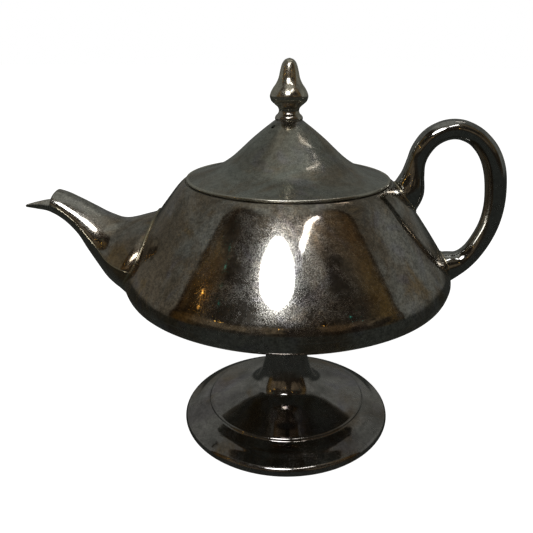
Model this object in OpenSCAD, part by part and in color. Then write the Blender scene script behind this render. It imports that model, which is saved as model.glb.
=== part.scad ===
// Pedestal teapot in silver plate: a spun cone body on a trumpet foot,
// with a two-part spout, a loop handle and a lift-off lid with a finial.
// Millimetres. The origin is the centre of the foot's underside, +Z is up,
// the spout points along -X and the handle along +X.

/* [Foot] */
// Outer radius of the foot
foot_r = 52; // [44:0.5:62]
// Radius of the wire that runs round the foot's edge
foot_wire_r = 2.9; // [2:0.1:3.4]
// Depth to which the wire's underside is ground flat
foot_flat = 0.25; // [0.15:0.05:0.5]
// Radius of the foot's dome, up to its small step
step_r = 39.1; // [32:0.1:42]
// Height of the step's upper edge above the table
step_z = 11.8; // [10:0.1:14]
// Drop of the step
step_h = 1.5; // [0.8:0.1:2]
// Radius of the stem at its waist
stem_r = 9.7; // [8:0.1:12]

/* [Body] */
// Radius of the body at its crease, the widest ring
belly_r = 75.9; // [63:0.1:92]
// Height of the crease above the table
belly_z = 80.5; // [76:0.5:96]
// Height of the pan's lowest point, where the stem is soldered
pan_z = 52.5; // [46:0.5:58]
// Radius of the mouth's outer edge
mouth_r = 46.9; // [39:0.1:56]
// Rise of the wall from the crease to the mouth's edge
wall_h = 43.5; // [34:0.1:51]
// Thickness of the body's sheet
sheet = 1.2; // [0.8:0.1:1.6]

/* [Mouth and lid] */
// Thickness of the collar that lines the mouth
collar_t = 1.4; // [1:0.1:2]
// Depth of the collar below the mouth's edge
collar_h = 6.2; // [5:0.1:9]
// Width of the collar's inner ledge
ledge_w = 1.9; // [1.2:0.1:3]
// Gap between the lid's bezel and the collar
lid_gap = 0.35; // [0.2:0.05:0.6]
// Distance of the lid's rim from the mouth's outer edge
lid_inset = 1.1; // [0.4:0.1:1.4]
// Radius of the wire round the lid's rim
lid_wire_r = 0.7; // [0.5:0.05:1.2]
// Rise of the lid from its rim to the finial's seat
lid_h = 24.7; // [20:0.1:30]
// Thickness of the lid's sheet
lid_t = 1; // [0.7:0.1:1.4]
// Depth of the bezel below the mouth's edge
bezel_h = 4.4; // [3:0.1:4.8]
// Thickness of the bezel
bezel_t = 1; // [0.8:0.1:1.5]
// Radius of the steam vent in the lid
vent_r = 0.9; // [0.5:0.1:1.5]

/* [Finial] */
// Height of the finial
finial_h = 25.8; // [20:0.1:32]
// Largest radius of the finial
finial_r = 8.35; // [7:0.05:10]
// Radius of the finial's threaded stud
stud_r = 2; // [1.5:0.1:2.5]
// Radius of the washer under the lid
washer_r = 5; // [4:0.1:6]
// Thickness of the washer
washer_t = 0.8; // [0.5:0.1:1.5]
// Width of the nut across its flats
nut_af = 7; // [6:0.1:8]
// Thickness of the nut
nut_t = 2.8; // [2:0.1:4]

/* [Spout] */
// Reach of the spout's tip from the pot's axis
spout_reach = 120.8; // [108:0.1:146]
// Height of the spout's tip above the crease
spout_rise = 29.5; // [22:0.1:36]
// Half width of the spout where it meets the body
spout_base_w = 28; // [23:0.5:32]
// Power that flattens the sides of the upper half's section, 1 for an ellipse
spout_facet = 1.2; // [1:0.05:1.4]
// Share by which the lower half's section draws in towards its keel
spout_keel = 0.3; // [0:0.05:0.4]
// Thickness of the spout's wall
spout_t = 1.3; // [0.8:0.1:1.6]
// Radius of the strainer holes behind the spout
strainer_r = 1.6; // [1:0.1:2.2]
// Distance between the centres of neighbouring strainer holes
strainer_pitch = 6.2; // [5.2:0.1:7]

/* [Handle] */
// Radius of the handle's tube
handle_r = 4.7; // [3.8:0.1:5.6]
// Reach of the handle's centre line from the pot's axis
handle_reach = 94.8; // [90:0.1:116]
// Height of the handle's centre line above the crease
handle_rise = 66.3; // [55:0.1:80]
// Power that flattens the sides of the handle's section, 1 for an ellipse
handle_facet = 1.15; // [1:0.05:1.4]

/* [Hidden] */
$fn = 96;
mouth_z = belly_z + wall_h;
bore_r = mouth_r - 0.8;
lid_r = mouth_r - lid_inset;
lid_z = mouth_z + lid_wire_r + 0.6;
lid_top_z = lid_z + lid_h;
seat_r = 6.3;
bezel_r = bore_r - collar_t - lid_gap;

// A smooth curve through the points p, with n steps between neighbours
function lerp_at(p, i) = p[max(0, min(len(p) - 1, i))];
function curve_point(p, i, t) =
    let (a = lerp_at(p, i - 1), b = p[i], c = p[i + 1], d = lerp_at(p, i + 2))
    0.5 * (2 * b + (c - a) * t + (2 * a - 5 * b + 4 * c - d) * t * t
           + (3 * b - a - 3 * c + d) * t * t * t);
function curve(p, n) = concat(
    [for (i = [0 : len(p) - 2]) for (k = [0 : n - 1]) curve_point(p, i, k / n)],
    [p[len(p) - 1]]);
function reverse(p) = [for (i = [len(p) - 1 : -1 : 0]) p[i]];

// The points (cos a, sin a) drawn in between the axes by the power k
function power(v, k) = sign(v) * pow(abs(v), k);

// The outline p moved by d to its left, as seen along its direction
function left_normal(v) = [-v[1], v[0]] / norm(v);
function shifted(p, d) =
    [for (i = [0 : len(p) - 1]) p[i] + d * left_normal(lerp_at(p, i + 1) - lerp_at(p, i - 1))];

// Body profile, [radius, height], from the crease upward and from the crease downward
wall_shape = [[1, 0], [0.99, 0.058], [0.959, 0.12], [0.917, 0.172], [0.831, 0.264], [0.742, 0.356],
              [0.649, 0.448], [0.553, 0.54], [0.4545, 0.632], [0.352, 0.724], [0.247, 0.816],
              [0.155, 0.895], [0.098, 0.94], [0.048, 0.974], [0, 1]];
function wall_at(a, b) = [mouth_r + (belly_r - mouth_r) * a, belly_z + wall_h * b];
wall_out = curve([for (s = wall_shape) wall_at(s[0], s[1])], 3);
pan_shape = [[1, 1], [0.994, 0.935], [0.984, 0.865], [0.968, 0.805], [0.94, 0.75], [0.9, 0.69],
             [0.815, 0.595], [0.66, 0.44], [0.46, 0.265], [0.26, 0.11], [0.1, 0.02], [0, 0]];
pan_out = curve([for (s = pan_shape) [belly_r * s[0], pan_z + (belly_z - pan_z) * s[1]]], 3);
wall_in = concat([[belly_r - sheet, belly_z]],
                 [for (i = [1 : len(wall_out) - 2]) shifted(wall_out, sheet)[i]],
                 [[bore_r, mouth_z - sheet]]);
pan_in = concat([[belly_r - sheet, belly_z]],
                [for (i = [1 : len(pan_out) - 2]) shifted(pan_out, -sheet)[i]],
                [[0, pan_z + sheet]]);

// Foot profile, from the stem's top to the wire
foot_shape = curve(
    [[stem_r + 3.2, pan_z + 2.4], [stem_r + 0.6, pan_z - 3.5], [stem_r, pan_z - 10],
     [stem_r + 0.8, 34], [stem_r + 2.1, 28.3], [stem_r + 3.6, 24], [stem_r + 6.4, step_z + 7.6],
     [stem_r + 11.2, step_z + 4.4], [(stem_r + step_r) / 2 + 3.5, step_z + 2.1],
     [step_r - 5, step_z + 0.8], [step_r - 0.6, step_z + 0.1]], 4);
foot_edge = curve(
    [[step_r, step_z - 0.3], [step_r + 0.4, step_z - step_h + 0.3], [step_r + 1.4, step_z - step_h - 0.2],
     [step_r + 5, step_z - step_h - 1.5], [foot_r - 3.6, foot_wire_r * 2 + 0.3],
     [foot_r - foot_wire_r + 0.4, foot_wire_r * 2 - 0.6]], 4);
foot_out = concat(foot_shape, foot_edge);

// Lid profile, from the rim to the finial's seat
lid_shape = [[1, 0], [0.845, 0.069], [0.698, 0.15], [0.595, 0.231], [0.485, 0.352],
             [0.369, 0.514], [0.258, 0.676], [0.134, 0.838], [0, 1]];
lid_edge_r = lid_r - lid_wire_r;
lid_out = curve([for (s = lid_shape) [seat_r + (lid_edge_r - seat_r) * s[0], lid_z + lid_h * s[1]]], 5);
lid_in = shifted(lid_out, lid_t);

// Finial profile, [share of the largest radius, share of the height]
finial_shape = [[0.72, 0.012], [0.737, 0.042], [0.69, 0.08], [0.575, 0.118], [0.533, 0.165],
                [0.585, 0.215], [0.76, 0.267], [0.925, 0.318], [1, 0.39], [0.955, 0.455],
                [0.838, 0.527], [0.68, 0.6], [0.557, 0.686], [0.491, 0.779], [0.425, 0.863],
                [0.34, 0.93], [0.2, 0.978], [0, 1]];
finial_out = curve([for (s = finial_shape) [finial_r * s[0], lid_top_z + finial_h * s[1]]], 3);

// Spout stations: [distance from the axis, height above the crease] on the top line and the
// bottom line, then the half width. The first two lie inside the body.
tip_x = spout_reach;
root_x = belly_r;
function out_at(s) = root_x + (tip_x - root_x) * s;
function up_at(s) = belly_z + spout_rise * s;
spout_stations =
    [[[root_x - 26, up_at(0.99)], [root_x - 10, up_at(-0.15)], spout_base_w],
     [[root_x - 19, up_at(0.975)], [root_x - 2.4, up_at(-0.445)], spout_base_w],
     [[root_x - 12, up_at(0.905)], [out_at(0.067), up_at(-0.295)], spout_base_w],
     [[out_at(-0.02), up_at(0.828)], [out_at(0.193), up_at(-0.15)], spout_base_w * 0.71],
     [[out_at(0.142), up_at(0.907)], [out_at(0.294), up_at(0.05)], spout_base_w * 0.5],
     [[out_at(0.296), up_at(1.036)], [out_at(0.393), up_at(0.305)], spout_base_w * 0.39],
     [[out_at(0.432), up_at(1.148)], [out_at(0.484), up_at(0.568)], spout_base_w * 0.33],
     [[out_at(0.584), up_at(1.256)], [out_at(0.613), up_at(0.79)], spout_base_w * 0.287],
     [[out_at(0.737), up_at(1.305)], [out_at(0.755), up_at(0.925)], spout_base_w * 0.24],
     [[out_at(0.875), up_at(1.29)], [out_at(0.884), up_at(0.965)], spout_base_w * 0.165],
     [[tip_x, up_at(1.2)], [tip_x, up_at(0.99)], 1.2]];
// The mouth is cut away above this line, from the tip to the hood's top
mouth_line =
    [[tip_x + 1, up_at(1.02)], [out_at(0.926), up_at(1.04)], [out_at(0.815), up_at(1.064)],
     [out_at(0.737), up_at(1.061)], [out_at(0.7), up_at(1.075)], [out_at(0.686), up_at(1.119)],
     [out_at(0.676), up_at(1.186)], [out_at(0.66), up_at(1.244)], [out_at(0.634), up_at(1.285)],
     [out_at(0.6), up_at(1.34)]];

// Handle stations: centre [distance from the axis, height], half height and half width
// The part inside the crease keeps clear of the lid's rim when the mouth grows
hx = handle_reach - belly_r;
hx_in = (belly_r - mouth_r) * 0.652;
function grip(x, z, k) =
    [belly_r + (x < 0 ? hx_in : hx) * x, belly_z + handle_rise * z, handle_r * k];
handle_stations =
    [[wall_at(0.16, 0.72)[0], wall_at(0.16, 0.72)[1], handle_r * 1.6],
     [wall_at(0.25, 0.86)[0], wall_at(0.25, 0.86)[1], handle_r * 1.65],
     grip(-1.095, 0.622, 1.5), grip(-1.04, 0.7, 1.14), grip(-0.99, 0.782, 0.94),
     grip(-0.893, 0.864, 0.97), grip(-0.688, 0.943, 1), grip(-0.375, 0.992, 0.98),
     grip(-0.036, 1, 0.94), grip(0.303, 0.965, 0.92), grip(0.554, 0.907, 0.96),
     grip(0.752, 0.832, 1.02), grip(0.9, 0.732, 1.06), grip(0.98, 0.611, 1.05),
     grip(1, 0.481, 1.02), grip(0.938, 0.357, 1), grip(0.794, 0.245, 1.01),
     grip(0.585, 0.143, 1.04), grip(0.335, 0.074, 1.2), grip(0.03, 0.036, 1.6),
     grip(-0.3, 0.005, 1.9)];

// One closed skin through rings that all have the same even number of points. The end caps are
// strips from each ring's first half to its second half, which suits full rings and C shapes.
module skin(rings) {
    n = len(rings[0]);
    last = (len(rings) - 1) * n;
    points = [for (r = rings) for (q = r) q];
    sides = [for (i = [0 : len(rings) - 2]) for (j = [0 : n - 1])
        let (a = i * n + j, b = i * n + (j + 1) % n)
        each [[a, b, a + n], [b, b + n, a + n]]];
    caps = [for (j = [0 : n / 2 - 2])
        let (a = j, b = j + 1, c = n - 2 - j, d = n - 1 - j)
        each [[d, b, a], [d, c, b], [last + a, last + b, last + d], [last + b, last + c, last + d]]];
    polyhedron(points, concat(sides, caps), convexity = 10);
}

// Half of a spout section, as an arc of 180 degrees from the angle a0 round the station s.
// Angle 0 is the section's top line, and inset moves the arc inward.
function spout_arc(s, inset, a0) =
    let (u = [s[0], s[1]], l = [s[2], s[3]])
    let (cut = min(inset, s[4] * 0.4), toward = (l - u) / norm(l - u) * cut)
    let (c = (u + l) / 2, h = (u - l) / 2 + toward)
    [for (a = [a0 : 15 : a0 + 180])
        let (k = cos(a) > 0 ? spout_facet : 1)
        let (across = (s[4] - cut) * power(sin(a), k) * (1 + spout_keel * min(cos(a), 0)))
        [-(c[0] + h[0] * power(cos(a), k)), -across, c[1] + h[1] * power(cos(a), k)]];

// The upper half starts at -90 degrees and the lower half at 90, so they meet along a seam
// at the widest line of the sections
module spout_half(a0) {
    stations = curve([for (s = spout_stations) [each s[0], each s[1], s[2]]], 3);
    difference() {
        skin([for (s = stations)
            concat(spout_arc(s, 0, a0), reverse(spout_arc(s, spout_t, a0)))]);
        body_form();
        rotate([90, 0, 0])
            linear_extrude(height = 40, center = true)
                polygon(concat([for (q = curve(mouth_line, 4)) [-q[0], q[1]]],
                    [[-out_at(0.6), mouth_z + 60], [-tip_x - 20, mouth_z + 60], [-tip_x - 20, up_at(1)]]));
    }
}

// The outer form of the closed body, used to trim what is soldered to it
module body_form() {
    rotate_extrude()
        polygon(concat(reverse(pan_out), [for (i = [1 : len(wall_out) - 1]) wall_out[i]],
                       [[0, mouth_z]]));
}

module foot_shell() {
    color("#5c5852")
        difference() {
            rotate_extrude()
                polygon(concat(foot_out, reverse(shifted(foot_out, -sheet))));
            body_form();
        }
}

module foot_wire() {
    color("#6b665e")
        difference() {
            rotate_extrude()
                intersection() {
                    translate([foot_r - foot_wire_r, foot_wire_r - foot_flat])
                        circle(r = foot_wire_r, $fn = 32);
                    square([foot_r, foot_wire_r * 2]);
                }
            rotate_extrude()
                polygon(concat(foot_out, reverse(shifted(foot_out, -sheet))));
        }
}

module body_pan() {
    color("#4d4b46")
        rotate_extrude()
            polygon(concat(pan_out, reverse(pan_in)));
}

// Centres of the strainer holes, as [along the wall, across it]
strainer_grid = [for (i = [-2 : 2]) for (j = [-2 : 2]) if (abs(i + j) <= 2)
    strainer_pitch * [i * sqrt(3) / 2, j + i / 2]];

module body_shell() {
    mid = wall_at(0.72, 0.43);
    slope = atan2(belly_r - mouth_r, wall_h);
    color("#6e685d")
        difference() {
            rotate_extrude()
                polygon(concat(wall_out, [[bore_r, mouth_z]], reverse(wall_in)));
            for (q = strainer_grid)
                translate([-mid[0], 0, mid[1]])
                    rotate([0, -90 + slope, 0])
                        translate([q[0], q[1], -14])
                            cylinder(r = strainer_r, h = 28, $fn = 24);
        }
}

module mouth_collar() {
    color("#7a7468")
        rotate_extrude()
            polygon([[bore_r, mouth_z - collar_h], [bore_r, mouth_z],
                     [bore_r - collar_t, mouth_z], [bore_r - collar_t, mouth_z - collar_h + 1.2],
                     [bore_r - collar_t - ledge_w, mouth_z - collar_h + 1.2],
                     [bore_r - collar_t - ledge_w, mouth_z - collar_h]]);
}

module spout_lower() {
    color("#3f423e")
        spout_half(90);
}

module spout_upper() {
    color("#6a655a")
        spout_half(-90);
}

module handle() {
    path = curve(handle_stations, 2);
    rings = [for (i = [0 : len(path) - 1])
        let (s = path[i], v = lerp_at(path, i + 1) - lerp_at(path, i - 1))
        let (side = [v[1], -v[0]] / norm([v[0], v[1]]), w = handle_r + (s[2] - handle_r) * 0.7)
        [for (a = [0 : 22.5 : 337.5])
            let (c = s[2] * power(cos(a), handle_facet))
            [s[0] + side[0] * c, w * power(sin(a), handle_facet), s[1] + side[1] * c]]];
    color("#55534d")
        difference() {
            skin(rings);
            body_form();
        }
}

module lid_shell() {
    color("#76746c")
        difference() {
            rotate_extrude()
                polygon(concat(lid_out, [[0, lid_top_z], [0, lid_top_z - lid_t]], reverse(lid_in)));
            translate([0, 0, lid_top_z - 5])
                cylinder(r = stud_r, h = 10, $fn = 32);
            rotate([0, 0, -138])
                translate([seat_r + 2.7, 0, lid_z + lid_h * 0.8])
                    cylinder(r = vent_r, h = 12, $fn = 24);
        }
}

module lid_wire() {
    color("#a39f92")
        difference() {
            rotate_extrude()
                translate([lid_r - lid_wire_r, lid_z - 0.3])
                    circle(r = lid_wire_r, $fn = 24);
            rotate_extrude()
                polygon(concat(lid_out, [[0, lid_top_z], [0, lid_top_z - lid_t]], reverse(lid_in)));
        }
}

module lid_bezel() {
    color("#6f6b61")
        difference() {
            rotate_extrude()
                translate([bezel_r - bezel_t, mouth_z - bezel_h])
                    square([bezel_t, lid_z - mouth_z + bezel_h + 3]);
            rotate_extrude()
                polygon(concat(reverse(lid_in), [[lid_r, lid_top_z], [0, lid_top_z]]));
        }
}

module finial() {
    color("#b3ab98")
        difference() {
            rotate_extrude()
                polygon(concat([[0, lid_top_z], [finial_r * 0.68, lid_top_z]], finial_out));
            translate([0, 0, lid_top_z - 1])
                cylinder(r = stud_r, h = 9, $fn = 32);
        }
}

module finial_stud() {
    color("#8c8676")
        translate([0, 0, lid_top_z - lid_t - washer_t - nut_t - 1.2])
            cylinder(r = stud_r, h = lid_t + washer_t + nut_t + 1.2 + 8, $fn = 32);
}

module finial_washer() {
    color("#8c8676")
        translate([0, 0, lid_top_z - lid_t - washer_t])
            difference() {
                cylinder(r = washer_r, h = washer_t, $fn = 48);
                translate([0, 0, -1])
                    cylinder(r = stud_r, h = washer_t + 2, $fn = 32);
            }
}

module finial_nut() {
    color("#8c8676")
        translate([0, 0, lid_top_z - lid_t - washer_t - nut_t])
            difference() {
                cylinder(r = nut_af / sqrt(3), h = nut_t, $fn = 6);
                translate([0, 0, -1])
                    cylinder(r = stud_r, h = nut_t + 2, $fn = 32);
            }
}

foot_shell();
foot_wire();
body_pan();
body_shell();
mouth_collar();
spout_lower();
spout_upper();
handle();
lid_shell();
lid_wire();
lid_bezel();
finial();
finial_stud();
finial_washer();
finial_nut();
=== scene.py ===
"""Silver-plated pedestal teapot: visible pieces, finishes, studio and camera.

Lengths in the profile sections are millimetres, as in the CAD source, and
become metres when a mesh is made.
"""
import math
import random

import bmesh
import bpy
from mathutils import Matrix, Vector


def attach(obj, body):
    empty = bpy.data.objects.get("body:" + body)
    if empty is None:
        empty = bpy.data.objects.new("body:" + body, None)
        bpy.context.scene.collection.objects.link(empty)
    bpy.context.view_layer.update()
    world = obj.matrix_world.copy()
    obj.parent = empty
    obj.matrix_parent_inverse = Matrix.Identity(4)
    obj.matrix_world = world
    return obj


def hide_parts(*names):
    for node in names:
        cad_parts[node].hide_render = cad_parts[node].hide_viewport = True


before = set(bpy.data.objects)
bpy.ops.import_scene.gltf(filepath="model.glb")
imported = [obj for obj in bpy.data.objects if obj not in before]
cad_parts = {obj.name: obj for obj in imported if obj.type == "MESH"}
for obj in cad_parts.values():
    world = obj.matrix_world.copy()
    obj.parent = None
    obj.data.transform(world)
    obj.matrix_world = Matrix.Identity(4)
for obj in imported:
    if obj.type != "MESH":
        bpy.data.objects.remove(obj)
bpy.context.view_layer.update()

MM = 0.001

# ---------------------------------------------------------------- sizes, mm
FOOT_R, FOOT_WIRE_R, FOOT_FLAT = 52.0, 2.9, 0.25
STEP_R, STEP_Z, STEP_H, STEM_R = 39.1, 11.8, 1.5, 9.7
BELLY_R, BELLY_Z, PAN_Z = 75.9, 80.5, 52.5
MOUTH_R, WALL_H, SHEET = 46.9, 43.5, 1.2
COLLAR_T, COLLAR_H, LEDGE_W, LID_GAP = 1.4, 6.2, 1.9, 0.35
LID_INSET, LID_WIRE_R, LID_H, LID_T = 1.1, 0.7, 24.7, 1.0
BEZEL_H, BEZEL_T, VENT_R = 4.4, 1.0, 0.9
FINIAL_H, FINIAL_R = 25.8, 8.35
SPOUT_REACH, SPOUT_RISE, SPOUT_W, SPOUT_T = 120.8, 29.5, 28.0, 1.3
STRAINER_R, STRAINER_PITCH, STRAINER_AT = 1.6, 6.2, (0.72, 0.43)
SPOUT_KEEL, SPOUT_FACET, HANDLE_FACET = 0.3, 1.2, 1.15
HANDLE_R, HANDLE_REACH, HANDLE_RISE, HANDLE_INNER_SHARE = 4.7, 94.8, 66.3, 0.652
VENT_TURN, VENT_OUT = math.radians(-138), 2.7
ROOT_BEAD_R, SEAM_BEAD_R, HANDLE_TOP_BEAD_R, HANDLE_LOW_BEAD_R = 0.75, 0.24, 0.45, 0.5

MOUTH_Z = BELLY_Z + WALL_H
BORE_R = MOUTH_R - 0.8
LID_R = MOUTH_R - LID_INSET
LID_Z = MOUTH_Z + LID_WIRE_R + 0.6
LID_TOP = LID_Z + LID_H
SEAT_R = 6.3
BEZEL_R = BORE_R - COLLAR_T - LID_GAP


# ------------------------------------------------------------ curve helpers
def catmull(a, b, c, d, t):
    return [0.5 * (2 * q + (r - p) * t + (2 * p - 5 * q + 4 * r - s) * t * t
                   + (3 * q - p - 3 * r + s) * t ** 3) for p, q, r, s in zip(a, b, c, d)]


def curve(points, n):
    """A smooth line through points, with n steps to a span."""
    last = len(points) - 1
    out = []
    for i in range(last):
        a, b, c, d = points[max(0, i - 1)], points[i], points[i + 1], points[min(last, i + 2)]
        out += [catmull(a, b, c, d, k / n) for k in range(n)]
    return out + [list(points[last])]


def curve_at(points, u):
    """The curve at u, where u runs from 0 to 1 over the spans."""
    last = len(points) - 1
    x = min(max(u, 0.0), 1.0) * last
    i = min(int(x), last - 1)
    a, b, c, d = points[max(0, i - 1)], points[i], points[i + 1], points[min(last, i + 2)]
    return catmull(a, b, c, d, x - i)


def shifted(points, dist):
    """The line moved sideways by dist, to its left as it runs."""
    out = []
    for i, p in enumerate(points):
        q, r = points[max(0, i - 1)], points[min(len(points) - 1, i + 1)]
        dx, dz = r[0] - q[0], r[1] - q[1]
        ln = math.hypot(dx, dz)
        out.append([p[0] - dist * dz / ln, p[1] + dist * dx / ln])
    return out


def round_end(a, b, out_dir, n=5):
    """Points of a half-round edge from a to b that bulges along out_dir."""
    half = math.dist(a, b) / 2
    mid = [(p + q) / 2 for p, q in zip(a, b)]
    pts = []
    for k in range(1, n):
        t = math.pi * k / n
        pts.append([m + (p - m) * math.cos(t) + o * half * math.sin(t) * 0.8
                    for m, p, o in zip(mid, a, out_dir)])
    return pts


# ---------------------------------------------------------------- profiles
WALL_SHAPE = [(1, 0), (0.99, 0.058), (0.959, 0.12), (0.917, 0.172), (0.831, 0.264), (0.742, 0.356),
              (0.649, 0.448), (0.553, 0.54), (0.4545, 0.632), (0.352, 0.724), (0.247, 0.816),
              (0.155, 0.895), (0.098, 0.94), (0.048, 0.974), (0, 1)]
PAN_SHAPE = [(1, 1), (0.994, 0.935), (0.984, 0.865), (0.968, 0.805), (0.94, 0.75), (0.9, 0.69),
             (0.815, 0.595), (0.66, 0.44), (0.46, 0.265), (0.26, 0.11), (0.1, 0.02), (0, 0)]
LID_SHAPE = [(1, 0), (0.845, 0.069), (0.698, 0.15), (0.595, 0.231), (0.485, 0.352),
             (0.369, 0.514), (0.258, 0.676), (0.134, 0.838), (0, 1)]
FINIAL_SHAPE = [(0.72, 0.012), (0.737, 0.042), (0.69, 0.08), (0.575, 0.118), (0.533, 0.165),
                (0.585, 0.215), (0.76, 0.267), (0.925, 0.318), (1, 0.39), (0.955, 0.455),
                (0.838, 0.527), (0.68, 0.6), (0.557, 0.686), (0.491, 0.779), (0.425, 0.863),
                (0.34, 0.93), (0.2, 0.978), (0, 1)]


def wall_at(a, b):
    """A point of the wall: a is 0 at the mouth and 1 at the crease, b is 0 at the
    crease's height and 1 at the mouth's."""
    return [MOUTH_R + (BELLY_R - MOUTH_R) * a, BELLY_Z + WALL_H * b]


wall_out = curve([wall_at(a, b) for a, b in WALL_SHAPE], 6)
pan_out = curve([(BELLY_R * a, PAN_Z + (BELLY_Z - PAN_Z) * b) for a, b in PAN_SHAPE], 6)
wall_in = ([[BELLY_R - SHEET, BELLY_Z]] + shifted(wall_out, SHEET)[1:-1]
           + [[BORE_R, MOUTH_Z - SHEET]])
pan_in = ([[BELLY_R - SHEET, BELLY_Z]] + shifted(pan_out, -SHEET)[1:-1]
          + [[0, PAN_Z + SHEET]])
foot_shape = curve(
    [(STEM_R + 3.2, PAN_Z + 2.4), (STEM_R + 0.6, PAN_Z - 3.5), (STEM_R, PAN_Z - 10),
     (STEM_R + 0.8, 34), (STEM_R + 2.1, 28.3), (STEM_R + 3.6, 24), (STEM_R + 6.4, STEP_Z + 7.6),
     (STEM_R + 11.2, STEP_Z + 4.4), ((STEM_R + STEP_R) / 2 + 3.5, STEP_Z + 2.1),
     (STEP_R - 5, STEP_Z + 0.8), (STEP_R - 0.6, STEP_Z + 0.1)], 6)
foot_edge = curve(
    [(STEP_R, STEP_Z - 0.3), (STEP_R + 0.4, STEP_Z - STEP_H + 0.3), (STEP_R + 1.4, STEP_Z - STEP_H - 0.2),
     (STEP_R + 5, STEP_Z - STEP_H - 1.5), (FOOT_R - 5, FOOT_WIRE_R * 2 + 1.26),
     (FOOT_R - 2.9, FOOT_WIRE_R * 2 + 0.13), (FOOT_R - 1.42, FOOT_WIRE_R * 2 - 0.65)], 8)
foot_out = [p for p in foot_shape + foot_edge if p[1] < PAN_Z + 0.9]
LID_EDGE_R = LID_R - LID_WIRE_R
lid_out = curve([(SEAT_R + (LID_EDGE_R - SEAT_R) * a, LID_Z + LID_H * b) for a, b in LID_SHAPE], 10)
lid_in = shifted(lid_out, LID_T)
finial_out = curve([(FINIAL_R * a, LID_TOP + FINIAL_H * b) for a, b in FINIAL_SHAPE], 8)

# the body's outer radius by height, used to trim what is soldered to it: the
# wall, and the pan's steep side from the crease down
PAN_SIDE_POINTS = 31
body_line = sorted([(z, r) for r, z in pan_out[:PAN_SIDE_POINTS]]
                   + [(z, r) for r, z in wall_out[1:]])


def body_r(z):
    """The body's outer radius at height z, 0 above and below body_line."""
    if z <= body_line[0][0] or z >= body_line[-1][0]:
        return 0.0
    lo, hi = 0, len(body_line) - 1
    while hi - lo > 1:
        mid = (lo + hi) // 2
        if body_line[mid][0] <= z:
            lo = mid
        else:
            hi = mid
    (z0, r0), (z1, r1) = body_line[lo], body_line[hi]
    return r0 + (r1 - r0) * (z - z0) / max(z1 - z0, 1e-9)


def outside(p):
    """Distance outside the body's surface, negative inside."""
    return math.hypot(p[0], p[1]) - body_r(p[2])


# ------------------------------------------------------------- mesh helpers
def piece(name, bm, sharp=0.6):
    """An object made from bm, smooth but for edges sharper than sharp radians."""
    bmesh.ops.recalc_face_normals(bm, faces=bm.faces[:])
    for f in bm.faces:
        f.smooth = True
    for e in bm.edges:
        e.smooth = not (len(e.link_faces) == 2 and e.calc_face_angle(0.0) > sharp)
    me = bpy.data.meshes.new(name)
    bm.to_mesh(me)
    bm.free()
    ob = bpy.data.objects.new(name, me)
    bpy.context.scene.collection.objects.link(ob)
    return ob


def lathe_bm(loop, seg=192):
    """A closed profile [(r, z), ...] in mm turned round the Z axis."""
    bm = bmesh.new()
    rings = []
    for r, z in loop:
        if r < 1e-5:
            rings.append([bm.verts.new((0, 0, z * MM))])
        else:
            rings.append([bm.verts.new((r * MM * math.cos(2 * math.pi * k / seg),
                                        r * MM * math.sin(2 * math.pi * k / seg), z * MM))
                          for k in range(seg)])
    for a, b in zip(rings, rings[1:] + rings[:1]):
        for k in range(seg):
            j = (k + 1) % seg
            if len(a) == 1 and len(b) == 1:
                break
            if len(a) == 1:
                bm.faces.new((a[0], b[j], b[k]))
            elif len(b) == 1:
                bm.faces.new((a[k], a[j], b[0]))
            else:
                bm.faces.new((a[k], a[j], b[j], b[k]))
    return bm


def lathe(name, loop, seg=192, sharp=0.6):
    return piece(name, lathe_bm(loop, seg), sharp)


def circle_loop(cr, cz, r, n, flat_below=None):
    pts = [(cr + r * math.cos(2 * math.pi * k / n), cz + r * math.sin(2 * math.pi * k / n))
           for k in range(n)]
    if flat_below is not None:
        pts = [(x, max(z, flat_below)) for x, z in pts]
    return pts


def tube(name, pts, radius, closed, sides=10):
    """A bead of solder along pts, a little uneven in its thickness."""
    bm = bmesh.new()
    rng = random.Random(name)
    phase = [rng.uniform(0, 6.28) for _ in range(4)]
    n = len(pts)
    rings = []
    for i in range(n):
        a = Vector(pts[(i - 1) % n] if closed or i else pts[0])
        b = Vector(pts[(i + 1) % n] if closed or i < n - 1 else pts[-1])
        t = (b - a).normalized()
        side = t.cross(Vector((0.13, 0.21, 0.97))).normalized()
        up = side.cross(t)
        u = i / n * 2 * math.pi
        wob = 1 + 0.10 * math.sin(7 * u + phase[0]) + 0.07 * math.sin(17 * u + phase[1])
        rr = radius * wob
        if not closed:
            rr *= min(1.0, 0.3 + min(i, n - 1 - i) / 6)
        c = Vector(pts[i])
        rings.append([bm.verts.new((c + side * rr * math.cos(2 * math.pi * k / sides)
                                    + up * rr * math.sin(2 * math.pi * k / sides)) * MM)
                      for k in range(sides)])
    pairs = list(zip(rings, rings[1:])) + ([(rings[-1], rings[0])] if closed else [])
    for a, b in pairs:
        for k in range(sides):
            j = (k + 1) % sides
            bm.faces.new((a[k], a[j], b[j], b[k]))
    if not closed:
        bm.faces.new(rings[0][::-1])
        bm.faces.new(rings[-1])
    return piece(name, bm, 1.2)


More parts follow.
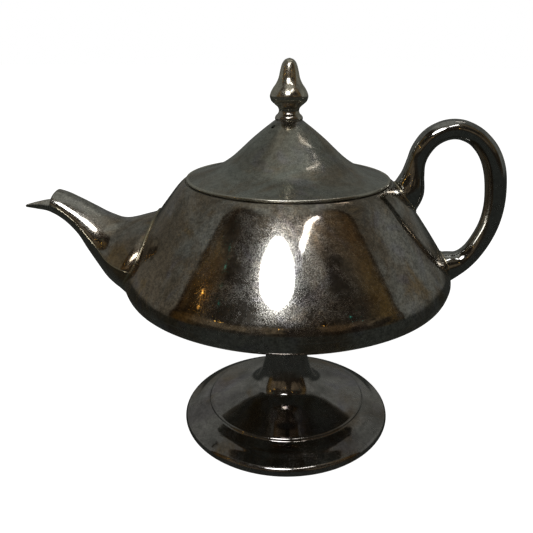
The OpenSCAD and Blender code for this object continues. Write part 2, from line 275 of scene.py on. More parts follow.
def grid_shell(name, outer, inner, edges, sharp=0.7):
    """A shell from two grids [row][column] of points in mm. edges names the
    sides that get a rounded strip: '0' and '1' are the first and last rows,
    'a' and 'b' the first and last columns."""
    bm = bmesh.new()
    vo = [[bm.verts.new(Vector(p) * MM) for p in row] for row in outer]
    vi = [[bm.verts.new(Vector(p) * MM) for p in row] for row in inner]
    rows, cols = len(vo), len(vo[0])
    for i in range(rows - 1):
        for j in range(cols - 1):
            bm.faces.new((vo[i][j], vo[i][j + 1], vo[i + 1][j + 1], vo[i + 1][j]))
            bm.faces.new((vi[i][j], vi[i + 1][j], vi[i + 1][j + 1], vi[i][j + 1]))

    def strip(side, line_o, line_i, line_back):
        steps = 5 if side in edges else 1
        prev = line_o
        for k in range(1, steps):
            t = math.pi * k / steps
            cur = []
            for o, i_, bk in zip(line_o, line_i, line_back):
                mid = (o.co + i_.co) / 2
                out = (o.co - bk.co)
                half = (o.co - i_.co).length / 2
                out = out.normalized() * half * 0.9 if out.length > 1e-9 else Vector()
                cur.append(bm.verts.new(mid + (o.co - mid) * math.cos(t) + out * math.sin(t)))
            for j in range(len(cur) - 1):
                bm.faces.new((prev[j], prev[j + 1], cur[j + 1], cur[j]))
            prev = cur
        for j in range(len(line_i) - 1):
            bm.faces.new((prev[j], prev[j + 1], line_i[j + 1], line_i[j]))

    def col(g, j):
        return [row[j] for row in g]

    strip("0", vo[0], vi[0], vo[1])
    strip("1", vo[-1], vi[-1], vo[-2])
    strip("a", col(vo, 0), col(vi, 0), col(vo, 1))
    strip("b", col(vo, -1), col(vi, -1), col(vo, -2))
    bmesh.ops.remove_doubles(bm, verts=bm.verts[:], dist=2e-6)
    bmesh.ops.dissolve_degenerate(bm, dist=1e-6, edges=bm.edges[:])
    return piece(name, bm, sharp)


def cut(ob, tool_bm, name):
    """Takes tool_bm out of ob and keeps the result in ob's own mesh."""
    me = bpy.data.meshes.new(name)
    tool_bm.to_mesh(me)
    tool_bm.free()
    tool = bpy.data.objects.new(name, me)
    bpy.context.scene.collection.objects.link(tool)
    mod = ob.modifiers.new("cut", "BOOLEAN")
    mod.object, mod.operation, mod.solver = tool, "DIFFERENCE", "EXACT"
    dg = bpy.context.evaluated_depsgraph_get()
    new = bpy.data.meshes.new_from_object(ob.evaluated_get(dg))
    ob.modifiers.clear()
    bpy.data.objects.remove(tool)
    bm = bmesh.new()
    bm.from_mesh(new)
    for f in bm.faces:
        f.smooth = True
    for e in bm.edges:
        e.smooth = not (len(e.link_faces) == 2 and e.calc_face_angle(0.0) > 0.5)
    bm.to_mesh(ob.data)
    bm.free()


def cylinder_into(bm, centre, axis, radius, height, sides=32):
    z = Vector(axis).normalized()
    m = Matrix.Translation(Vector(centre) * MM) @ z.to_track_quat("Z", "Y").to_matrix().to_4x4()
    bmesh.ops.create_cone(bm, cap_ends=True, segments=sides, radius1=radius * MM,
                          radius2=radius * MM, depth=height * MM, matrix=m)


# -------------------------------------------------------------- foot and body
foot_in = shifted(foot_out, -SHEET)
foot = lathe("foot_bell", foot_out + foot_in[::-1], sharp=0.9)
foot_rim = lathe("foot_rim_wire", circle_loop(FOOT_R - FOOT_WIRE_R, FOOT_WIRE_R - FOOT_FLAT,
                                              FOOT_WIRE_R, 48, 0.0), sharp=0.4)
pan = lathe("body_under_pan", pan_out + pan_in[::-1])
shell = lathe("body_wall", wall_out + round_end(wall_out[-1], [BORE_R, MOUTH_Z], (0, 0.35), 4)
              + [[BORE_R, MOUTH_Z]] + wall_in[::-1])

mid = wall_at(*STRAINER_AT)
slope = math.atan2(BELLY_R - MOUTH_R, WALL_H)
drill = bmesh.new()
along = Vector((math.sin(slope), 0, math.cos(slope)))
for i in range(-2, 3):
    for j in range(-2, 3):
        if abs(i + j) <= 2:
            u = STRAINER_PITCH * i * math.sqrt(3) / 2
            v = STRAINER_PITCH * (j + i / 2)
            c = Vector((-mid[0], 0, mid[1])) - along * u + Vector((0, v, 0))
            cylinder_into(drill, c, (-math.cos(slope), 0, math.sin(slope)), STRAINER_R, 28, 24)
cut(shell, drill, "strainer_drill")

collar = lathe("mouth_collar_ring", [
    (BORE_R, MOUTH_Z - COLLAR_H), (BORE_R, MOUTH_Z - 0.3), (BORE_R - 0.3, MOUTH_Z),
    (BORE_R - COLLAR_T + 0.3, MOUTH_Z), (BORE_R - COLLAR_T, MOUTH_Z - 0.3),
    (BORE_R - COLLAR_T, MOUTH_Z - COLLAR_H + 1.2),
    (BORE_R - COLLAR_T - LEDGE_W + 0.2, MOUTH_Z - COLLAR_H + 1.2),
    (BORE_R - COLLAR_T - LEDGE_W, MOUTH_Z - COLLAR_H + 1.0),
    (BORE_R - COLLAR_T - LEDGE_W, MOUTH_Z - COLLAR_H)], sharp=0.3)

# ---------------------------------------------------------------------- lid
lid = lathe("lid_cone", lid_out + [[0, LID_TOP], [0, LID_TOP - LID_T]] + lid_in[::-1])
vent = bmesh.new()
vent_at = SEAT_R + VENT_OUT
cylinder_into(vent, (vent_at * math.cos(VENT_TURN), vent_at * math.sin(VENT_TURN),
                     LID_Z + LID_H * 0.8 + 6), (0, 0, 1), VENT_R, 12)
cut(lid, vent, "vent_drill")
lid_rim = lathe("lid_rim_wire", circle_loop(LID_R - LID_WIRE_R, LID_Z - 0.3, LID_WIRE_R, 20), sharp=1.2)
bezel_top = LID_Z - 0.35
bezel = lathe("lid_bezel_ring", [
    (BEZEL_R - BEZEL_T, MOUTH_Z - BEZEL_H + 0.25), (BEZEL_R - BEZEL_T + 0.25, MOUTH_Z - BEZEL_H),
    (BEZEL_R - 0.25, MOUTH_Z - BEZEL_H), (BEZEL_R, MOUTH_Z - BEZEL_H + 0.25),
    (BEZEL_R, bezel_top - 0.5), (BEZEL_R - BEZEL_T, bezel_top - 0.3)], sharp=0.3)
finial = lathe("finial_turned", [(0, LID_TOP), (FINIAL_R * 0.68, LID_TOP)] + finial_out, seg=128)

# -------------------------------------------------------------------- spout
ROOT, TIP = BELLY_R, SPOUT_REACH


def sx(s):
    return ROOT + (TIP - ROOT) * s


def sz(s):
    return BELLY_Z + SPOUT_RISE * s


# upper x and z, lower x and z, and half the width at each station
SPOUT = [
    (ROOT - 26, sz(0.99), ROOT - 10, sz(-0.15), SPOUT_W),
    (ROOT - 19, sz(0.975), ROOT - 2.4, sz(-0.445), SPOUT_W),
    (ROOT - 12, sz(0.905), sx(0.067), sz(-0.295), SPOUT_W),
    (sx(-0.02), sz(0.828), sx(0.193), sz(-0.15), SPOUT_W * 0.71),
    (sx(0.142), sz(0.907), sx(0.294), sz(0.05), SPOUT_W * 0.5),
    (sx(0.296), sz(1.036), sx(0.393), sz(0.305), SPOUT_W * 0.39),
    (sx(0.432), sz(1.148), sx(0.484), sz(0.568), SPOUT_W * 0.33),
    (sx(0.584), sz(1.256), sx(0.613), sz(0.79), SPOUT_W * 0.287),
    (sx(0.737), sz(1.305), sx(0.755), sz(0.925), SPOUT_W * 0.24),
    (sx(0.875), sz(1.29), sx(0.884), sz(0.965), SPOUT_W * 0.165),
    (TIP, sz(1.2), TIP, sz(0.99), 1.2)]
MOUTH_LINE = curve([
    (TIP + 1, sz(1.02)), (sx(0.926), sz(1.04)), (sx(0.815), sz(1.064)), (sx(0.737), sz(1.061)),
    (sx(0.7), sz(1.075)), (sx(0.686), sz(1.119)), (sx(0.676), sz(1.186)), (sx(0.66), sz(1.244)),
    (sx(0.634), sz(1.285)), (sx(0.6), sz(1.34))], 8)


def power(v, k):
    return math.copysign(abs(v) ** k, v)


def spout_point(s, a, inset):
    ux, uz, lx, lz, w = curve_at(SPOUT, s)
    ln = math.hypot(lx - ux, lz - uz)
    c = min(inset, w * 0.4)
    hx, hz = (ux - lx) / 2 * (1 - 2 * c / ln), (uz - lz) / 2 * (1 - 2 * c / ln)
    cx, cz = (ux + lx) / 2, (uz + lz) / 2
    k = SPOUT_FACET if math.cos(a) > 0 else 1.0
    ca, sa = power(math.cos(a), k), power(math.sin(a), k)
    y = (w - c) * sa * (1 + SPOUT_KEEL * min(ca, 0.0))
    return [-(cx + hx * ca), -y, cz + hz * ca]


def above_mouth(p):
    """Positive where a point lies in the part cut away for the pouring lip."""
    x, z = -p[0], p[2]
    if x <= MOUTH_LINE[-1][0]:
        return -1.0
    best, sign = 1e9, -1.0
    for (x0, z0), (x1, z1) in zip(MOUTH_LINE, MOUTH_LINE[1:]):
        dx, dz = x1 - x0, z1 - z0
        t = min(max(((x - x0) * dx + (z - z0) * dz) / (dx * dx + dz * dz), 0), 1)
        ex, ez = x - x0 - t * dx, z - z0 - t * dz
        d = ex * ex + ez * ez
        if d < best:
            best = d
            sign = 1.0 if dx * ez - dz * ex < 0 else -1.0
    return sign * math.sqrt(best)


def crossing(f, lo, hi, steps):
    """First u from lo towards hi at which f turns positive."""
    prev = lo
    for k in range(1, steps + 1):
        u = lo + (hi - lo) * k / steps
        if f(u) > 0:
            for _ in range(24):
                m = (prev + u) / 2
                if f(m) > 0:
                    u = m
                else:
                    prev = m
            return (prev + u) / 2
        prev = u
    return hi


def spout_start(a, inset):
    """Where the line at angle a leaves the body."""
    return crossing(lambda s: outside(spout_point(s, a, inset)), 0.0, 0.45, 90)


def spout_end(a, inset):
    return crossing(lambda s: above_mouth(spout_point(s, a, inset)), 0.45, 1.0, 220)


def rim_angle(s, inset):
    """Angle from the top at which the section at s meets the mouth line."""
    return math.pi - crossing(lambda t: above_mouth(spout_point(s, math.pi - t, inset)),
                              0.0, math.pi, 120)


def upper_grid(inset, rows=110, cols=61):
    half = []
    for j in range(cols // 2 + 1):
        a = math.pi / 2 * j / (cols // 2)
        half.append((a, spout_start(a, inset), spout_end(min(a, math.pi / 2 - 1e-3), inset)))
    table = [(-a, s0, s1) for a, s0, s1 in half[:0:-1]] + half
    return [[spout_point(s0 + (s1 - s0) * i / rows, a, inset) for a, s0, s1 in table]
            for i in range(rows + 1)]


def lower_grid(inset, rows=150, cols=61):
    corner = spout_end(math.pi / 2, inset)
    n = 160
    rims = [max(math.pi / 2, rim_angle(corner + (1 - corner) * k / n, inset)) for k in range(n + 1)]

    def rim_at(s):
        x = max(s - corner, 0) / (1 - corner) * n
        k = min(int(x), n - 1)
        return rims[k] + (rims[k + 1] - rims[k]) * (x - k)

    half = []
    for j in range(cols // 2 + 1):
        f = j / (cols // 2)
        half.append((f, spout_start(math.pi / 2 * (1 + f), inset)))
    grid = []
    for i in range(rows + 1):
        t = i / rows
        row = []
        for side in (1, -1):
            part = []
            for f, s0 in half:
                s = s0 + (1 - s0) * t
                a0 = math.pi / 2 if s <= corner else rim_at(s)
                part.append(spout_point(s, side * (a0 + (math.pi - a0) * f), inset))
            row += part if side == 1 else part[-2::-1]
        grid.append(row)
    return grid


up_o, up_i = upper_grid(0.0), upper_grid(SPOUT_T)
lo_o, lo_i = lower_grid(0.0), lower_grid(SPOUT_T)
spout_top = grid_shell("spout_upper_half", up_o, up_i, "1")
spout_low = grid_shell("spout_lower_half", lo_o, lo_i, "1ab")
# the upper row runs from -90 to 90 degrees, the lower row on from 90 to 270
root_loop = up_o[0] + lo_o[0][1:-1]
spout_bead = tube("spout_root_solder", root_loop, ROOT_BEAD_R, True)
SEAM_STEPS = 70
seam_start, seam_end = spout_start(math.pi / 2, 0) + 0.004, spout_end(math.pi / 2, 0) - 0.002
seams = [tube("spout_seam_" + name,
              [spout_point(seam_start + (seam_end - seam_start) * i / SEAM_STEPS, side * math.pi / 2, 0)
               for i in range(SEAM_STEPS + 1)], SEAM_BEAD_R, False)
         for name, side in (("near", 1), ("far", -1))]

# ------------------------------------------------------------------- handle
HX = HANDLE_REACH - BELLY_R
HX_IN = (BELLY_R - MOUTH_R) * HANDLE_INNER_SHARE


def grip(x, z, k):
    """A station of the handle: x is 0 at the crease and 1 at the handle's reach,
    z is 0 at the crease and 1 at the top, k scales the thickness."""
    return (BELLY_R + (HX_IN if x < 0 else HX) * x, BELLY_Z + HANDLE_RISE * z, HANDLE_R * k)


HANDLE = [
    (*wall_at(0.16, 0.72), HANDLE_R * 1.6), (*wall_at(0.25, 0.86), HANDLE_R * 1.65),
    grip(-1.095, 0.622, 1.5), grip(-1.04, 0.7, 1.14), grip(-0.99, 0.782, 0.94),
    grip(-0.893, 0.864, 0.97), grip(-0.688, 0.943, 1), grip(-0.375, 0.992, 0.98),
    grip(-0.036, 1, 0.94), grip(0.303, 0.965, 0.92), grip(0.554, 0.907, 0.96),
    grip(0.752, 0.832, 1.02), grip(0.9, 0.732, 1.06), grip(0.98, 0.611, 1.05),
    grip(1, 0.481, 1.02), grip(0.938, 0.357, 1), grip(0.794, 0.245, 1.01),
    grip(0.585, 0.143, 1.04), grip(0.335, 0.074, 1.2), grip(0.03, 0.036, 1.6),
    grip(-0.3, 0.005, 1.9)]


def handle_point(s, a):
    x, z, h = curve_at(HANDLE, s)
    x0, z0, _ = curve_at(HANDLE, max(s - 0.012, 0))
    x1, z1, _ = curve_at(HANDLE, min(s + 0.012, 1))
    ln = math.hypot(x1 - x0, z1 - z0)
    nx, nz = (z1 - z0) / ln, -(x1 - x0) / ln
    w = HANDLE_R + (h - HANDLE_R) * 0.7
    c = h * power(math.cos(a), HANDLE_FACET)
    return [x + nx * c, w * power(math.sin(a), HANDLE_FACET), z + nz * c]


def build_handle(sides=56, rows=220):
    bm = bmesh.new()
    ends = []
    for j in range(sides):
        a = 2 * math.pi * j / sides
        s0 = crossing(lambda s, a=a: outside(handle_point(s, a)), 0.0, 0.4, 120)
        s1 = 1 - crossing(lambda s, a=a: outside(handle_point(1 - s, a)), 0.0, 0.4, 120)
        ends.append((a, s0, s1))
    grid = [[handle_point(s0 + (s1 - s0) * i / rows, a) for a, s0, s1 in ends]
            for i in range(rows + 1)]
    v = [[bm.verts.new(Vector(p) * MM) for p in row] for row in grid]
    for i in range(rows):
        for j in range(sides):
            k = (j + 1) % sides
            bm.faces.new((v[i][j], v[i][k], v[i + 1][k], v[i + 1][j]))
    bm.faces.new(v[0][::-1])
    bm.faces.new(v[-1])
    return piece("handle_loop", bm, 0.9), grid[0], grid[-1]


handle, handle_top_ring, handle_low_ring = build_handle()
bead_top = tube("handle_upper_solder", handle_top_ring, HANDLE_TOP_BEAD_R, True)
bead_low = tube("handle_lower_solder", handle_low_ring, HANDLE_LOW_BEAD_R, True)


# ---------------------------------------------------------------- materials
class Nodes:
    """Short calls for building a node tree."""

    def __init__(self, tree):
        self.t = tree

    def new(self, kind, **values):
        n = self.t.nodes.new(kind)
        for k, v in values.items():
            setattr(n, k, v)
        return n

    def link(self, a, b):
        self.t.links.new(a, b)

    def math(self, op, a, b=None):
        n = self.new("ShaderNodeMath", operation=op)
        for sock, v in zip(n.inputs, (a, b)):
            if v is None:
                continue
            if isinstance(v, (int, float)):
                sock.default_value = v
            else:
                self.link(v, sock)
        return n.outputs[0]

    def ranged(self, value, lo, hi, to_lo=0.0, to_hi=1.0):
        n = self.new("ShaderNodeMapRange", interpolation_type="SMOOTHSTEP")
        self.link(value, n.inputs[0])
        for k, v in zip((1, 2, 3, 4), (lo, hi, to_lo, to_hi)):
            n.inputs[k].default_value = v
        return n.outputs[0]

    def mix(self, fac, a, b, kind="MIX"):
        n = self.new("ShaderNodeMix", data_type="RGBA", blend_type=kind)
        for sock, v in ((n.inputs[0], fac), (n.inputs[6], a), (n.inputs[7], b)):
            if isinstance(v, (int, float)):
                sock.default_value = v
            elif isinstance(v, tuple):
                sock.default_value = (*v, 1.0)
            else:
                self.link(v, sock)
        return n.outputs[2]

    def noise(self, vec, scale, detail=3.0, rough=0.55, distort=0.0):
        n = self.new("ShaderNodeTexNoise")
        self.link(vec, n.inputs["Vector"])
        n.inputs["Scale"].default_value = scale
        n.inputs["Detail"].default_value = detail
        n.inputs["Roughness"].default_value = rough
        n.inputs["Distortion"].default_value = distort
        return n.outputs[0]

    def mapped(self, vec, rot=(0, 0, 0), scale=(1, 1, 1), loc=(0, 0, 0)):
        n = self.new("ShaderNodeMapping")
        self.link(vec, n.inputs[0])
        n.inputs["Location"].default_value = loc
        n.inputs["Rotation"].default_value = rot
        n.inputs["Scale"].default_value = scale
        return n.outputs[0]


SCRATCH, PIT_DARKNESS, RING_SCALE, DOT_SCALE = 0.5, 0.5, 2600, 5200
# depths of the bump, in metres
DENT_DEPTH, GRAIN_DEPTH, RING_DEPTH = 0.000014, 0.0000022, 0.0000016
LINE_DEPTH, PIT_DEPTH = 0.000003, 0.000003
SCRATCH_BRIGHT, PIT_COLOUR, TINT = (0.80, 0.78, 0.72), (0.05, 0.035, 0.02), (0.42, 0.40, 0.52)


def hairlines(k, vec):
    """Scratches in three directions, each a thin band of a stretched noise."""
    lines = None
    for i, (rot, stretch) in enumerate((((0.5, 0.2, 0.6), (900, 900, 16)),
                                        ((1.3, 0.7, 0.1), (1100, 1100, 24)),
                                        ((0.1, 1.1, 1.9), (800, 800, 12)))):
        n = k.noise(k.mapped(vec, rot, stretch, (i * 3.1, 1.7 * i, 0.4)), 1.0, 1.0, 0.4)
        band = k.ranged(k.math("ABSOLUTE", k.math("SUBTRACT", n, 0.5)), 0.004, 0.014, 1.0, 0.0)
        gate = k.ranged(k.noise(k.mapped(vec, loc=(0.5 * i, 0.1, 0.9)), 46, 2, 0.5), 0.54, 0.62)
        line = k.math("MULTIPLY", band, gate)
        lines = line if lines is None else k.math("MAXIMUM", lines, line)
    return lines


def lathe_rings(k, vec):
    """The fine circular marks that spinning and polishing leave."""
    sep = k.new("ShaderNodeSeparateXYZ")
    k.link(vec, sep.inputs[0])
    rad = k.math("SQRT", k.math("ADD", k.math("MULTIPLY", sep.outputs[0], sep.outputs[0]),
                                k.math("MULTIPLY", sep.outputs[1], sep.outputs[1])))
    ring_vec = k.new("ShaderNodeCombineXYZ")
    k.link(k.math("MULTIPLY", rad, RING_SCALE), ring_vec.inputs[0])
    k.link(k.math("MULTIPLY", sep.outputs[2], RING_SCALE), ring_vec.inputs[1])
    return k.noise(ring_vec.outputs[0], 1.0, 3, 0.6)


def plate(name, clean, grey, brown, gold, amount, rough, spun, haze, mottle):
    """Tarnished silver plate. amount is how much patina lies on it, from 0 to 1,
    rough the bare metal's roughness, spun the strength of the lathe's marks, haze
    the share of dull patina dots (a negative one means next to none) and mottle
    the contrast of the grain."""
    m = bpy.data.materials.new(name)
    m.use_nodes = True
    t = m.node_tree
    t.nodes.clear()
    k = Nodes(t)
    out = k.new("ShaderNodeOutputMaterial")
    bsdf = k.new("ShaderNodeBsdfPrincipled")
    k.link(bsdf.outputs[0], out.inputs[0])
    bsdf.inputs["Metallic"].default_value = 1.0
    vec = k.new("ShaderNodeTexCoord").outputs["Object"]

    broad = k.noise(vec, 26, 5, 0.62, 0.8)
    cloud = k.noise(k.mapped(vec, loc=(0.31, 0.17, 0.05)), 60, 6, 0.66, 0.6)
    fine = k.noise(vec, 420, 4, 0.7)
    stain = k.ranged(broad, 0.62 - 0.28 * amount, 0.80 - 0.22 * amount)
    warm = k.ranged(cloud, 0.50, 0.68)
    cool = k.ranged(k.noise(k.mapped(vec, loc=(0.7, 0.2, 0.4)), 34, 3, 0.5), 0.52, 0.72)

    col = k.mix(cool, clean, grey)
    col = k.mix(k.math("MULTIPLY", stain, 0.55 + 0.3 * amount), col, brown)
    col = k.mix(k.math("MULTIPLY", k.math("MULTIPLY", warm, stain), 0.7), col, gold)
    tint = k.ranged(k.noise(k.mapped(vec, loc=(0.11, 0.9, 0.3)), 48, 2, 0.5, 1.2), 0.56, 0.70, 0.0, 0.32)
    col = k.mix(tint, col, TINT)
    dust = k.math("ADD", k.math("MULTIPLY", fine, 0.45),
                  k.math("MULTIPLY", k.noise(k.mapped(vec, loc=(0.4, 0.1, 0.8)), 1500, 2, 0.7), 0.55))
    shade = k.ranged(dust, 0.40, 0.60, 1.0 - 0.30 * mottle, 1.0 + 0.22 * mottle)
    grain = k.new("ShaderNodeCombineXYZ")
    for s in grain.inputs:
        k.link(shade, s)
    col = k.mix(1.0, col, grain.outputs[0], "MULTIPLY")

    spots = k.new("ShaderNodeTexVoronoi", feature="F1")
    k.link(vec, spots.inputs["Vector"])
    spots.inputs["Scale"].default_value = 330
    spots.inputs["Randomness"].default_value = 1.0
    speck = k.math("MULTIPLY", k.ranged(spots.outputs["Distance"], 0.10, 0.20, 1.0, 0.0),
                   k.ranged(cloud, 0.52, 0.66))
    col = k.mix(k.math("MULTIPLY", speck, PIT_DARKNESS), col, PIT_COLOUR)

    lines = hairlines(k, vec)
    col = k.mix(k.math("MULTIPLY", lines, SCRATCH * 0.5), col, SCRATCH_BRIGHT)

    # rubbed edges are cleaner than the faces beside them
    worn = k.ranged(k.new("ShaderNodeNewGeometry").outputs["Pointiness"], 0.515, 0.56, 0.0, 0.6)
    col = k.mix(worn, col, clean)
    k.link(col, bsdf.inputs["Base Color"])

    # patina in dots finer than the eye resolves: a sharp reflection inside a soft one
    dots = k.math("ADD", k.noise(k.mapped(vec, loc=(0.2, 0.6, 0.1)), DOT_SCALE, 1, 0.5),
                  k.math("MULTIPLY", k.math("SUBTRACT", cloud, 0.5), 0.25))
    limit = 0.63 - 0.26 * haze
    hazy = k.ranged(dots, limit - 0.07, limit + 0.07)
    r = k.ranged(k.noise(vec, 90, 3, 0.6), 0.35, 0.65, rough * 0.75, rough * 1.3)
    r = k.math("ADD", r, k.math("MULTIPLY", hazy, k.ranged(cloud, 0.4, 0.62, 0.16, 0.30)))
    r = k.math("ADD", r, k.math("MULTIPLY", stain, 0.03 * amount))
    r = k.math("ADD", r, k.math("MULTIPLY", lines, 0.16 * SCRATCH))
    k.link(r, bsdf.inputs["Roughness"])

    # bump: shallow dents, grain, the lathe's rings, scratches and pits
    h = k.math("ADD", k.math("MULTIPLY", k.noise(vec, 38, 2, 0.5), DENT_DEPTH),
               k.math("MULTIPLY", fine, GRAIN_DEPTH))
    h = k.math("ADD", h, k.math("MULTIPLY", lathe_rings(k, vec), RING_DEPTH * spun))
    h = k.math("SUBTRACT", h, k.math("MULTIPLY", lines, LINE_DEPTH * SCRATCH))
    h = k.math("SUBTRACT", h, k.math("MULTIPLY", speck, PIT_DEPTH))
    bump = k.new("ShaderNodeBump")
    bump.inputs["Strength"].default_value = 1.0
    bump.inputs["Distance"].default_value = 1.0
    k.link(h, bump.inputs["Height"])
    k.link(bump.outputs[0], bsdf.inputs["Normal"])
    return m


def recipe(clean, grey, brown, gold, amount, rough, spun, haze, mottle=1.0):
    return {"clean": clean, "grey": grey, "brown": brown, "gold": gold, "amount": amount,
            "rough": rough, "spun": spun, "haze": haze, "mottle": mottle}


# clean metal, grey, brown and golden tarnish; then amount, rough, spun, haze and mottle
METALS = {
    "plate_body": recipe((0.60, 0.585, 0.54), (0.38, 0.385, 0.365), (0.33, 0.235, 0.145),
                         (0.60, 0.42, 0.21), 0.85, 0.04, 0.3, 0.26, 1.3),
    "plate_foot": recipe((0.52, 0.50, 0.48), (0.40, 0.375, 0.38), (0.30, 0.225, 0.155),
                         (0.48, 0.34, 0.18), 0.6, 0.045, 0.4, 0.02, 0.8),
    "plate_spout": recipe((0.60, 0.585, 0.54), (0.42, 0.42, 0.39), (0.31, 0.215, 0.13),
                          (0.52, 0.36, 0.18), 0.62, 0.06, 0.0, 0.25),
    "plate_handle": recipe((0.48, 0.48, 0.46), (0.37, 0.37, 0.36), (0.26, 0.21, 0.15),
                           (0.38, 0.29, 0.17), 0.30, 0.045, 0.0, -0.20, 0.7),
    "plate_lid": recipe((0.50, 0.515, 0.465), (0.43, 0.445, 0.41), (0.33, 0.26, 0.18),
                        (0.46, 0.35, 0.22), 0.62, 0.11, 2.2, 0.40, 0.9),
    # the lid's rim wire: metal lighter and creamier than the lid's, a painted highlight that brightens
    # the thin light line along the rim
    "plate_edge_painted_highlight": recipe((0.80, 0.77, 0.66), (0.60, 0.58, 0.50), (0.40, 0.32, 0.20),
                         (0.60, 0.46, 0.26), 0.35, 0.16, 0.0, 0.3, 0.4),
    "plate_finial": recipe((0.84, 0.79, 0.66), (0.62, 0.59, 0.50), (0.34, 0.27, 0.17),
                           (0.62, 0.47, 0.26), 0.4, 0.12, 1.0, 0.35, 0.5),
    "plate_inside": recipe((0.46, 0.44, 0.39), (0.34, 0.33, 0.30), (0.24, 0.18, 0.12),
                           (0.38, 0.28, 0.15), 0.6, 0.22, 1.2, 0.5, 0.3),
    # solder: its very dark brown and strong gold are partly tarnish, partly painted shade of the gap
    # beside the bead and painted glints along it
    "solder": recipe((0.70, 0.64, 0.48), (0.40, 0.36, 0.28), (0.10, 0.075, 0.045),
                     (0.72, 0.52, 0.20), 0.75, 0.12, 0.0, 0.2),
    "brass_turned": recipe((0.62, 0.50, 0.27), (0.52, 0.42, 0.24), (0.28, 0.19, 0.09),
                           (0.60, 0.43, 0.18), 0.3, 0.20, 1.6, 0.4, 0.4)}
metal = {name: plate(name, **look) for name, look in METALS.items()}

# piece, the CAD node it stands for, its body, the record's slot and its metal
FINISH = [
    (foot, "foot_shell", "pot", "plate_foot", metal["plate_foot"]),
    (foot_rim, "foot_wire", "pot", "plate_foot", metal["plate_foot"]),
    (pan, "body_pan", "pot", "plate_body", metal["plate_body"]),
    (shell, "body_shell", "pot", "plate_body", metal["plate_body"]),
    (collar, "mouth_collar", "pot", "plate_inside", metal["plate_inside"]),
    (spout_low, "spout_lower", "pot", "plate_spout", metal["plate_spout"]),
    (spout_top, "spout_upper", "pot", "plate_spout", metal["plate_spout"]),
    (handle, "handle", "pot", "plate_handle", metal["plate_handle"]),
    (lid, "lid_shell", "lid", "plate_lid", metal["plate_lid"]),
    (lid_rim, "lid_wire", "lid", "plate_lid", metal["plate_edge_painted_highlight"]),
    (bezel, "lid_bezel", "lid", "plate_inside", metal["plate_inside"]),
    (finial, "finial", "lid", "plate_finial", metal["plate_finial"])]
for ob, node, body, slot, mat in FINISH:
    ob.data.materials.clear()
    ob.data.materials.append(mat)
    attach(ob, body)
    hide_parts(node)
for ob, slot in ((spout_bead, "plate_spout"), (seams[0], "plate_spout"),
                 (seams[1], "plate_spout"), (bead_top, "plate_handle"), (bead_low, "plate_handle")):
    ob.data.materials.append(metal["solder"])
    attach(ob, "pot")
for node in ("finial_stud", "finial_washer", "finial_nut"):
    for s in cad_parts[node].material_slots:
        s.material = metal["brass_turned"]

# ------------------------------------------------------- floor, light, world
FLOOR_R, FLOOR_GLOW = 6.0, 0.97


def build_floor():
    """A wide pale disc, bright enough to read as a white sweep, which the metal
    doesn't mirror."""
    bm = bmesh.new()
    bmesh.ops.create_circle(bm, cap_ends=True, segments=128, radius=FLOOR_R)
    ob = piece("studio_floor", bm)
    ob.visible_glossy = False
    ob.visible_diffuse = False
    mat = bpy.data.materials.new("pale_floor")
    mat.use_nodes = True
    k = Nodes(mat.node_tree)
    shader = mat.node_tree.nodes["Principled BSDF"]
    grain = k.noise(k.new("ShaderNodeTexCoord").outputs["Object"], 90, 4, 0.6)
    tone = k.ranged(grain, 0.2, 0.8, 0.86, 0.90)
    colour = k.new("ShaderNodeCombineColor")
    for s in colour.inputs:
        k.link(tone, s)
    k.link(colour.outputs[0], shader.inputs["Base Color"])
    shader.inputs["Roughness"].default_value = 0.9
    shader.inputs["Emission Color"].default_value = (1, 1, 1, 1)
    shader.inputs["Emission Strength"].default_value = FLOOR_GLOW
    ob.data.materials.append(mat)
    return ob


floor = build_floor()


def direction(az, el):
    """A unit vector. Azimuth 0 is the camera's side and grows to its right."""
    a, e = math.radians(az), math.radians(el)
    return Vector((math.sin(a) * math.cos(e), -math.cos(a) * math.cos(e), math.sin(e)))


def lamp(name, az, el, dist, size, radiance, roll=0.0, colour=(1, 1, 1), shape="ELLIPSE"):
    """An area lamp that faces the pot, size in metres, radiance in scene units."""
    data = bpy.data.lights.new(name, "AREA")
    data.shape = shape
    data.size, data.size_y = size
    area = size[0] * size[1] * (math.pi / 4 if shape == "ELLIPSE" else 1)
    data.energy = radiance * area * math.pi
    data.color = colour
    ob = bpy.data.objects.new(name, data)
    bpy.context.scene.collection.objects.link(ob)
    target = Vector((0, 0, 0.1))
    ob.matrix_world = (Matrix.Translation(target + direction(az, el) * dist)
                       @ direction(az, el).to_track_quat("Z", "Y").to_matrix().to_4x4()
                       @ Matrix.Rotation(math.radians(roll), 4, "Z"))


lamp("key_lamp", -9, 46, 1.2, (0.46, 0.38), 7.0)
lamp("side_lamp", 27, 56, 1.2, (0.38, 0.06), 7.0, 22, shape="RECTANGLE")
lamp("strip_lamp", 112, 64, 1.2, (0.035, 0.34), 3.2, 0, (1, 0.90, 0.84), "RECTANGLE")
# small warm and cool bulbs far off in the room: azimuth, elevation and size of each
WARM, COOL = (1.0, 0.55, 0.12), (0.1, 0.9, 0.75)
WARM_BULBS = [(-64, 30, 0.028), (-63, 27, 0.02), (-47, 21, 0.022), (-43, 20, 0.018),
              (24, 26, 0.02), (-5, 18, 0.014)]
COOL_BULBS = [(-58, 44, 0.010), (-55, 40, 0.012), (-53, 36, 0.010), (-50, 32, 0.012),
              (44, 30, 0.010), (47, 26, 0.010), (50, 22, 0.010)]
BULBS = [(*b, 9.0, WARM) for b in WARM_BULBS] + [(*b, 1.6, COOL) for b in COOL_BULBS]
for n, (az, el, size, radiance, colour) in enumerate(BULBS):
    lamp("bulb_%02d" % n, az, el, 1.5, (size, size), radiance, 0, colour)


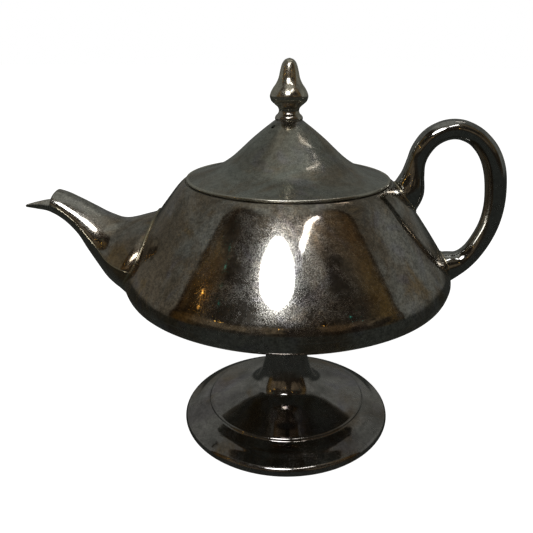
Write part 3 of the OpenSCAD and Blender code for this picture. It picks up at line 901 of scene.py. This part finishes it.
def room_colour(k):
    """What the metal mirrors: a dim room with a dark front, brown sides, a grey
    back and a pale ceiling."""
    vec = k.new("ShaderNodeTexCoord").outputs["Generated"]
    sep = k.new("ShaderNodeSeparateXYZ")
    k.link(vec, sep.inputs[0])
    x, y, z = sep.outputs
    flat = k.math("SQRT", k.math("ADD", k.math("MULTIPLY", x, x), k.math("MULTIPLY", y, y)))
    cosaz = k.math("DIVIDE", k.math("MULTIPLY", y, -1), k.math("MAXIMUM", flat, 0.001))
    front = k.ranged(cosaz, 0.155, 0.185)
    ceiling = k.ranged(z, 0.86, 0.95)
    high = k.ranged(z, 0.50, 0.74)
    low = k.ranged(z, 0.03, -0.10)
    table = k.math("MULTIPLY", k.ranged(z, 0.10, 0.16), k.ranged(z, 0.46, 0.36))
    soft = k.noise(vec, 2.2, 3, 0.5, 0.4)
    patches = k.ranged(k.noise(vec, 3.1, 4, 0.6), 0.42, 0.60)

    back_col = k.mix(k.ranged(soft, 0.35, 0.65), (0.095, 0.098, 0.09), (0.15, 0.153, 0.142))
    front_col = k.mix(high, (0.024, 0.021, 0.016), (0.105, 0.088, 0.064))
    front_col = k.mix(table, front_col, (0.120, 0.092, 0.060))
    brown_col = k.mix(high, (0.085, 0.055, 0.020), (0.112, 0.078, 0.040))
    front_col = k.mix(k.ranged(cosaz, 0.60, 0.30), front_col, brown_col)
    front_col = k.mix(patches, front_col, (0.018, 0.014, 0.010))
    front_col = k.mix(k.ranged(cosaz, 0.26, 0.18), front_col, (0.020, 0.013, 0.007))
    room = k.mix(front, back_col, front_col)
    room = k.mix(ceiling, room, (0.24, 0.243, 0.222))
    return k.mix(low, room, (0.028, 0.030, 0.027))


def build_world():
    """White where the picture shows it, and the room where the metal mirrors it."""
    world = bpy.data.worlds.new("studio")
    bpy.context.scene.world = world
    world.use_nodes = True
    world.node_tree.nodes.clear()
    k = Nodes(world.node_tree)
    bg_room = k.new("ShaderNodeBackground")
    k.link(room_colour(k), bg_room.inputs[0])
    bg_white = k.new("ShaderNodeBackground")
    bg_white.inputs[0].default_value = (1, 1, 1, 1)
    bg_white.inputs[1].default_value = 1.0
    pick = k.new("ShaderNodeMixShader")
    k.link(k.new("ShaderNodeLightPath").outputs["Is Camera Ray"], pick.inputs[0])
    k.link(bg_room.outputs[0], pick.inputs[1])
    k.link(bg_white.outputs[0], pick.inputs[2])
    k.link(pick.outputs[0], k.new("ShaderNodeOutputWorld").inputs[0])


build_world()

# ------------------------------------------------------------------- camera
# metres, degrees and, for the lens, millimetres on a sensor 36 wide
CAM_DIST, CAM_HEIGHT, CAM_PITCH, CAM_ROLL = 0.25994, 0.17977, 20.69, 0.57
CAM_LENS, CAM_SHIFT = 39.15, -0.0393
cam_data = bpy.data.cameras.new("camera")
cam_data.sensor_width = 36.0
cam_data.lens = CAM_LENS
cam_data.shift_x = CAM_SHIFT
cam_data.clip_start = 0.01
camera = bpy.data.objects.new("camera", cam_data)
bpy.context.scene.collection.objects.link(camera)
camera.matrix_world = (Matrix.Translation((0, -CAM_DIST, CAM_HEIGHT))
                       @ Matrix.Rotation(math.radians(90 - CAM_PITCH), 4, "X")
                       @ Matrix.Rotation(math.radians(CAM_ROLL), 4, "Z"))
bpy.context.scene.camera = camera
bpy.context.scene.view_settings.view_transform = "Standard"
